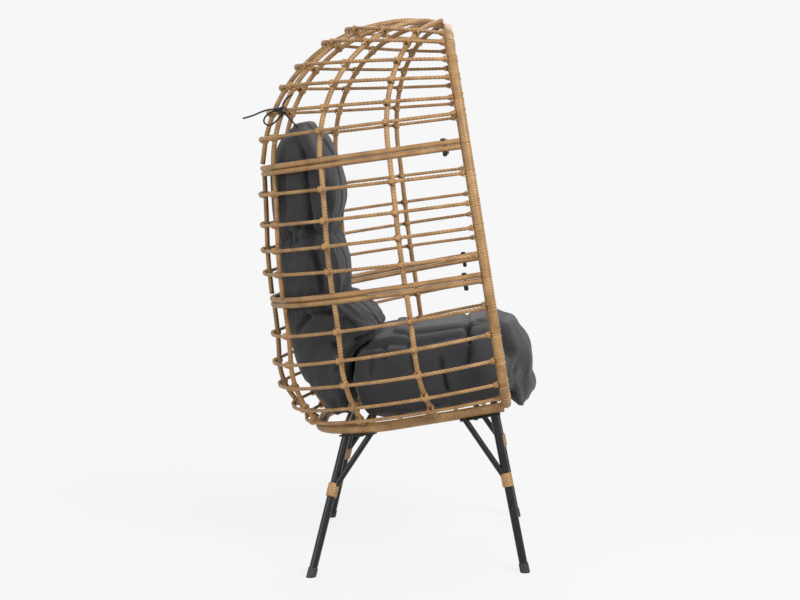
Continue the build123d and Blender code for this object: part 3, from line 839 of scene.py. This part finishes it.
# length of a leg's end whose points give the end's middle
LEG_END = 0.02
wrap_meshes = []
wrap_points = [v.co.copy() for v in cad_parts["leg_wraps"].data.vertices]
for end, front in (("front", True), ("rear", False)):
    for side, sign in (("left", 1), ("right", -1)):
        leg_points = [v.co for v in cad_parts[f"leg_{end}_{side}"].data.vertices]
        top = max(p.z for p in leg_points)
        low = min(p.z for p in leg_points)
        high_ring = [p for p in leg_points if p.z > top - LEG_END]
        low_ring = [p for p in leg_points if p.z < low + LEG_END]
        head = sum(high_ring, Vector()) / len(high_ring)
        foot = sum(low_ring, Vector()) / len(low_ring)
        axis = (head - foot).normalized()
        own = [p for p in wrap_points if p.x * sign > 0 and (p.y < 0) == front]
        spans = [(p - foot).dot(axis) for p in own]
        length = max(spans) - min(spans)
        line = [foot + axis * (min(spans) + length * share) for share in WRAP_STOPS]
        wrap_meshes.append(wound_mesh(line, WRAP_R, *WRAP_WINDING))
finished("leg_bindings", wrap_meshes, binding_rattan, ["leg_wraps"])
print("leg bindings:", len(wrap_meshes))

# %% [markdown]
# ## Cushions
# The seat and the back are fibre-filled covers, sewn in channels. They could be sculpted by hand,
# but then the shape would not follow the engineering model. So each starts as a slightly smaller
# copy of its solid, is remeshed to an even skin and blown up a little as cloth under pressure.
# Seams, pleats and folds are then drawn in along lines measured in the leaning frame. Cloth alone
# would put them anywhere. Their colour is darkened as they get deeper, a painted shade for the light that
# gets lost in them.

# %% Puff up a cover
COVER_WELD = 1e-5
SHRINK = 0.005
VOXEL = 0.006
SOFTENING = 24
SOFT_SHARE = 0.5
PRESSURE = 4
CLOTH_FRAMES = 20
# how far a point may swell, sink and slide as the cover is blown up
SWELL_CAP = 0.013
SINK_CAP = 0.001
SLIDE_CAP = 0.005


def apply_modifiers(piece):
    """Replaces a piece's mesh by what its modifiers make of it."""
    bpy.context.view_layer.update()
    ready = piece.evaluated_get(bpy.context.evaluated_depsgraph_get())
    made = bpy.data.meshes.new_from_object(ready)
    piece.modifiers.clear()
    piece.data = made


def soft_cover(name, node):
    """A remeshed, inflated copy of a cushion's solid."""
    start = bmesh.new()
    start.from_mesh(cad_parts[node].data)
    bmesh.ops.remove_doubles(start, verts=start.verts[:], dist=COVER_WELD)
    start.normal_update()
    for vert in start.verts:
        vert.co -= vert.normal * SHRINK
    mesh = bpy.data.meshes.new(name)
    start.to_mesh(mesh)
    start.free()
    cover = bpy.data.objects.new(name, mesh)
    scene.collection.objects.link(cover)
    skin = cover.modifiers.new("even_skin", "REMESH")
    skin.mode = "VOXEL"
    skin.voxel_size = VOXEL
    soft = cover.modifiers.new("soft_edges", "SMOOTH")
    soft.factor = SOFT_SHARE
    soft.iterations = SOFTENING
    apply_modifiers(cover)
    inflate(cover)
    print(name, "points:", len(cover.data.vertices))
    return cover


def inflate(cover):
    """Blows a cover up as cloth, and limits how far each point swells, sinks and slides."""
    before = [(v.co.copy(), v.normal.copy()) for v in cover.data.vertices]
    cloth = cover.modifiers.new("stuffing", "CLOTH")
    cloth.settings.use_pressure = True
    cloth.settings.uniform_pressure_force = PRESSURE
    cloth.settings.effector_weights.gravity = 0
    cloth.point_cache.frame_start = 1
    cloth.point_cache.frame_end = CLOTH_FRAMES
    for step in range(1, CLOTH_FRAMES + 1):
        scene.frame_set(step)
    apply_modifiers(cover)
    scene.frame_set(1)
    for vert, (old, normal) in zip(cover.data.vertices, before):
        swell = (vert.co - old).dot(normal)
        slide = vert.co - old - normal * swell
        swell = min(max(swell, -SINK_CAP), SWELL_CAP)
        if slide.length > SLIDE_CAP:
            slide = slide.normalized() * SLIDE_CAP
        vert.co = old + normal * swell + slide


# %% Seams and folds
# depths between which a fold's painted shade sets in, and how dark that painted shade gets
PALE_TO = 0.004
DARK_FROM = 0.016
DARKEST_SHADE = 0.85
WRINKLE_WIDTH = 0.12
# shares of a fold's length between which it fades in at each end
FOLD_FADE = (-0.05, 0.2)


def smooth_step(value, low, high):
    """Rises smoothly from 0 at the low value to 1 at the high one."""
    share = min(max((value - low) / (high - low), 0), 1)
    return share * share * (3 - 2 * share)


def crease(distance, width):
    """How deep a seam pulls in, by the distance from it."""
    return math.exp(-((distance / width) ** 2))


def drift(a, b, c):
    """A smooth, repeatable wander between about -1 and 1."""
    return noise.noise(Vector((a, b, c)))


def wrinkles(a, b, c):
    """Soft creases that wander over the cloth: 1 in a crease and 0 away from it."""
    return crease(drift(a, b, c), WRINKLE_WIDTH)


def fold(place, line, width):
    """A fold along a bent line on a cushion's side: 1 on it, 0 away from it and at its ends."""
    here = Vector((place.y, place.z))
    count = len(line) - 1
    deepest = 0
    for i in range(count):
        start = Vector(line[i])
        way = Vector(line[i + 1]) - start
        share = min(max((here - start).dot(way) / way.length_squared, 0), 1)
        along = (i + share) / count
        fade = smooth_step(min(along, 1 - along), *FOLD_FADE)
        away = (here - start - way * share).length
        deepest = max(deepest, fade * crease(away, width))
    return deepest


def draw_in(cover, depth_at):
    """Moves each point inwards and down as its place asks, and notes the painted shade it gets."""
    turned = TO_BASKET.to_3x3()
    fold_shade_layer = cover.data.attributes.new("fold_shade", "FLOAT", "POINT")
    moves = []
    for vert in cover.data.vertices:
        depth, sag = depth_at(TO_BASKET @ vert.co, turned @ vert.normal)
        fold_shade_layer.data[vert.index].value = DARKEST_SHADE * smooth_step(depth, PALE_TO, DARK_FROM)
        moves.append(vert.normal * depth + UP * sag)
    for vert, move in zip(cover.data.vertices, moves):
        vert.co -= move


def dressed_cushion(cover, node):
    """Finishes a cover: smooth faces, one subdivision, cloth, and its place on the chair."""
    for face in cover.data.polygons:
        face.use_smooth = True
    fine = cover.modifiers.new("fine_skin", "SUBSURF")
    fine.levels = 1
    fine.render_levels = 1
    cover.data.materials.clear()
    cover.data.materials.append(cushion_cloth)
    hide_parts(node)
    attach(cover, "root")


# %% [markdown]
# ## The seat cushion
# A thick pad that sags where people sit and hangs over the front bar in a lip. Two seams cross its
# top, one seam runs round its upper edge, and pleats run down its sides. A function gives each
# point's depth, so that all of these add up where they meet.

# %% Seat cushion
# each pleat on the sides: its line, by depth behind the rim and height, its pull and its width
SEAT_PLEATS = [
    ([(0.070, -0.460), (0.072, -0.483), (0.071, -0.516), (0.077, -0.554), (0.093, -0.595)], 0.022, 0.007),
    ([(0.151, -0.535), (0.153, -0.577), (0.150, -0.619), (0.145, -0.650)], 0.018, 0.006),
    ([(0.225, -0.480), (0.230, -0.516), (0.227, -0.555), (0.217, -0.589), (0.220, -0.630)], 0.022, 0.007),
    ([(0.335, -0.510), (0.349, -0.575)], 0.012, 0.007),
    ([(0.295, -0.489), (0.306, -0.540)], 0.012, 0.006),
    ([(-0.022, -0.480), (-0.030, -0.513), (-0.039, -0.590)], 0.026, 0.011),
    ([(-0.034, -0.635), (-0.061, -0.595)], 0.010, 0.008),
]
SEAT_CROSS_SEAMS = [0.070, 0.225]
SEAM_PULL = 0.009
SEAM_WIDTH = 0.008
SEAT_EDGE_SEAM = -0.498
EDGE_SEAM_PULL = 0.004
EDGE_SEAM_WIDTH = 0.005
SEAT_SAG = 0.008
FAR_SAG = 0.012
LIP_SWELL = 0.005
LIP_WRINKLE = 0.004
UNEVEN = 0.004
# where each effect starts and where it is full: half width, upward look, depth and height
SEAT_SIDE = (0.14, 0.22)
SEAT_TOP = (0.5, 0.9)
SAG_FRONT = (-0.02, 0.05)
SAG_REAR = (-0.29, -0.20)
SAG_FAR = (-0.1, 0.2)
LIP_FRONT = (-0.02, 0.04)
LIP_LOW = (0.69, 0.73)


def seat_depth(place, normal):
    """How far a point of the seat is drawn in, and how far it sags."""
    side = smooth_step(abs(place.x), *SEAT_SIDE)
    depth = 0
    if side > 0:
        for line, pull, width in SEAT_PLEATS:
            depth += side * pull * fold(place, line, width)
        depth += side * EDGE_SEAM_PULL * crease(place.z - SEAT_EDGE_SEAM, EDGE_SEAM_WIDTH)
    top = smooth_step(normal.z, *SEAT_TOP)
    for seam in SEAT_CROSS_SEAMS:
        depth += top * SEAM_PULL * crease(place.y - seam, SEAM_WIDTH)
    sitting = smooth_step(place.y, *SAG_FRONT) * smooth_step(-place.y, *SAG_REAR)
    sag = SEAT_SAG + FAR_SAG * smooth_step(place.x, *SAG_FAR)
    front = smooth_step(-place.y, *LIP_FRONT)
    depth += front * LIP_WRINKLE * wrinkles(place.x * 8 + 5, place.y * 8, place.z * 5)
    depth -= front * LIP_SWELL * smooth_step(-place.z, *LIP_LOW)
    depth += UNEVEN * drift(place.x * 9, place.y * 9, place.z * 9)
    return depth, top * sitting * sag


seat = soft_cover("seat_cushion_cover", "seat_cushion")
draw_in(seat, seat_depth)
dressed_cushion(seat, "seat_cushion")

# %% [markdown]
# ## The back cushion
# A tall pad that is drawn in twice across, so that it puffs out in three segments. The cloth
# gathers in small creases beside each pinch, two long seams run down its front, and its lowest
# segment is crumpled and bulges onto the seat. It is made in the same way as the seat.

# %% Back cushion
BACK_PINCHES = [-0.186, -0.355]
PINCH_PULL = 0.008
PINCH_WIDTH = 0.010
GATHER_PULL = 0.007
GATHER_REACH = 0.050
BACK_LONG_SEAMS = [-0.09, 0.09]
# each seam and fold on the sides: its line, by depth and height, its pull and its width
BACK_FOLDS = [
    ([(0.447, 0.090), (0.432, 0.026), (0.437, -0.048), (0.439, -0.128), (0.450, -0.180)], 0.018, 0.008),
    ([(0.486, 0.070), (0.501, -0.006), (0.511, -0.067), (0.513, -0.125)], 0.012, 0.007),
    ([(0.388, -0.030), (0.385, -0.062), (0.380, -0.140)], 0.012, 0.007),
    ([(0.451, -0.200), (0.441, -0.246), (0.440, -0.309), (0.445, -0.350)], 0.016, 0.008),
    ([(0.490, -0.149), (0.463, -0.157), (0.405, -0.182)], 0.018, 0.007),
    ([(0.535, -0.180), (0.501, -0.161)], 0.014, 0.008),
    ([(0.540, -0.430), (0.486, -0.393)], 0.018, 0.007),
    ([(0.520, -0.402), (0.489, -0.388)], 0.012, 0.006),
    ([(0.481, -0.389), (0.449, -0.385), (0.410, -0.394)], 0.014, 0.007),
    ([(0.440, -0.474), (0.410, -0.512)], 0.018, 0.007),
    ([(0.398, -0.408), (0.362, -0.440)], 0.012, 0.008),
    ([(0.376, -0.480), (0.350, -0.471), (0.322, -0.464)], 0.014, 0.007),
    ([(0.450, -0.556), (0.412, -0.530)], 0.014, 0.007),
]
# distance below the hood's joint at which the cloth gets crumpled
CRUMPLED_BELOW = 0.36
CRUMPLE_FADE = 0.03
CRUMPLE_PULL = 0.004
# where the back cushion bulges onto the seat cushion, and by how much
BULGE_LINE = [(0.310, -0.440), (0.310, -0.470), (0.345, -0.490)]
BULGE_SWELL = 0.011
BULGE_WIDTH = 0.030
# where each effect starts and where it is full: forward look and half width
BACK_FACE = (0.3, 0.7)
BACK_SIDE = (0.11, 0.18)


def back_depth(place, normal):
    """How far a point of the back is drawn in. The back doesn't sag."""
    depth = 0
    for pinch in BACK_PINCHES:
        depth += PINCH_PULL * crease(place.z - pinch, PINCH_WIDTH)
        gathers = crease(place.z - pinch, GATHER_REACH)
        depth += GATHER_PULL * gathers * wrinkles(place.x * 22, place.y * 22, place.z * 5)
    face = smooth_step(-normal.y, *BACK_FACE)
    for seam in BACK_LONG_SEAMS:
        depth += face * SEAM_PULL * crease(place.x - seam, SEAM_WIDTH)
    side = smooth_step(abs(place.x), *BACK_SIDE)
    if side > 0:
        for line, pull, width in BACK_FOLDS:
            depth += side * pull * fold(place, line, width)
    depth -= BULGE_SWELL * fold(place, BULGE_LINE, BULGE_WIDTH)
    low = CRUMPLED_BELOW - CRUMPLE_FADE
    loose = smooth_step(-place.z, low, CRUMPLED_BELOW + CRUMPLE_FADE)
    slant_y = place.y * 9 + place.z * 6
    slant_z = place.z * 10 - place.y * 5
    depth += loose * CRUMPLE_PULL * wrinkles(place.x * 7 + 3, slant_y, slant_z)
    depth += UNEVEN * drift(place.x * 9, place.y * 9, place.z * 8)
    return depth, 0


back = soft_cover("back_cushion_cover", "back_cushion")
draw_in(back, back_depth)
dressed_cushion(back, "back_cushion")

# %% [markdown]
# ## The tie
# A black tape from the top of the cushion goes up to a hoop, round it in a knot, and ends in two
# loose tails and a loop. It could be a simulated rope, but its lie in the picture is known. So each
# end is a smooth curve along the same few points as in the engineering model.

# %% Tapes
TIE_R = 0.0025
# points of each end in millimetres from the knot, in the leaning frame
TIE_ROUTES = {
    "tie_tail_back": [(-6, 0, 3), (-8, 26, 9), (-10, 54, 6), (-9, 82, -2), (-7, 108, -4)],
    "tie_tail_front": [(-4, 0, 4), (-14, -8, 20), (-27, -21, 31), (-42, -38, 36)],
    "tie_loop": [
        (4, 0, 4), (3, 24, 3), (1, 46, -5), (0, 57, -22), (1, 43, -36), (3, 22, -27), (4, 0, -8)
    ],
}
ANCHOR_END = in_basket(-0.104, 0.432, 0.096)
MM = 0.001
knot_low, knot_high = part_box("tie_knot")
knot = (knot_low + knot_high) / 2


def tape(node, places):
    """A smooth tape with a line of control points."""
    data = bpy.data.curves.new(node + "_tape", "CURVE")
    data.dimensions = "3D"
    data.bevel_depth = TIE_R
    data.bevel_resolution = 3
    data.resolution_u = 10
    data.use_fill_caps = True
    spline = data.splines.new("NURBS")
    spline.points.add(len(places) - 1)
    for control, place in zip(spline.points, places):
        control.co = (*place, 1)
    spline.order_u = 3
    spline.use_endpoint_u = True
    data.materials.append(tie_cloth)
    piece = bpy.data.objects.new(node + "_tape", data)
    scene.collection.objects.link(piece)
    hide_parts(node)
    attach(piece, "root")


for node, route in TIE_ROUTES.items():
    places = [knot + BASKET.to_3x3() @ (Vector(point) * MM) for point in route]
    tape(node, places)
tape("tie_anchor", [knot, (knot + ANCHOR_END) / 2, ANCHOR_END])

# %% Knot
KNOT_TAPE_R = 0.0028
# place along the hoop and lean of each turn of tape
KNOT_TURNS = [(-0.008, 0.25), (-0.003, -0.3), (0.003, 0.2), (0.008, -0.25), (0, 0.6), (0, -0.6)]
KNOT_REACH = 0.0080
# the two ears of the bow: how far each reaches to the front or rear, their height and their place
BOW_EARS = [0.018, -0.014]
BOW_HEIGHT = 0.0055
BOW_RISE = 0.004
BOW_OUT = 0.008

knot_meshes = []
knot_hoop = hoop_lines["canopy_hoop_2"]
near = min(range(len(knot_hoop) - 1), key=lambda i: (knot_hoop[i] - knot).length)
knot_way = (knot_hoop[near + 1] - knot_hoop[near]).normalized()
knot_side = knot_way.cross(UP).normalized()
knot_up = knot_side.cross(knot_way).normalized()
for turn, tilt in KNOT_TURNS:
    leaning = Matrix.Rotation(tilt, 3, knot_up) @ knot_side
    place = knot + knot_way * turn
    lash_ring(knot_meshes, place, knot_up, leaning, KNOT_REACH, KNOT_REACH, KNOT_TAPE_R)
forward = -knot_way if knot_way.dot(BACK) > 0 else knot_way
outside = 1 if knot_side.dot(BACK) > 0 else -1
over_hoop = knot_up * BOW_RISE + knot_side * BOW_OUT * outside
for reach in BOW_EARS:
    ear_way = forward if reach > 0 else -forward
    ear_up = ear_way.cross(knot_side)
    place = knot + over_hoop + ear_way * abs(reach)
    lash_ring(knot_meshes, place, ear_way, ear_up, abs(reach), BOW_HEIGHT, KNOT_TAPE_R)
finished("tie_knot_turns", knot_meshes, tie_cloth, ["tie_knot"])
print("turns of tape in the knot:", len(knot_meshes))
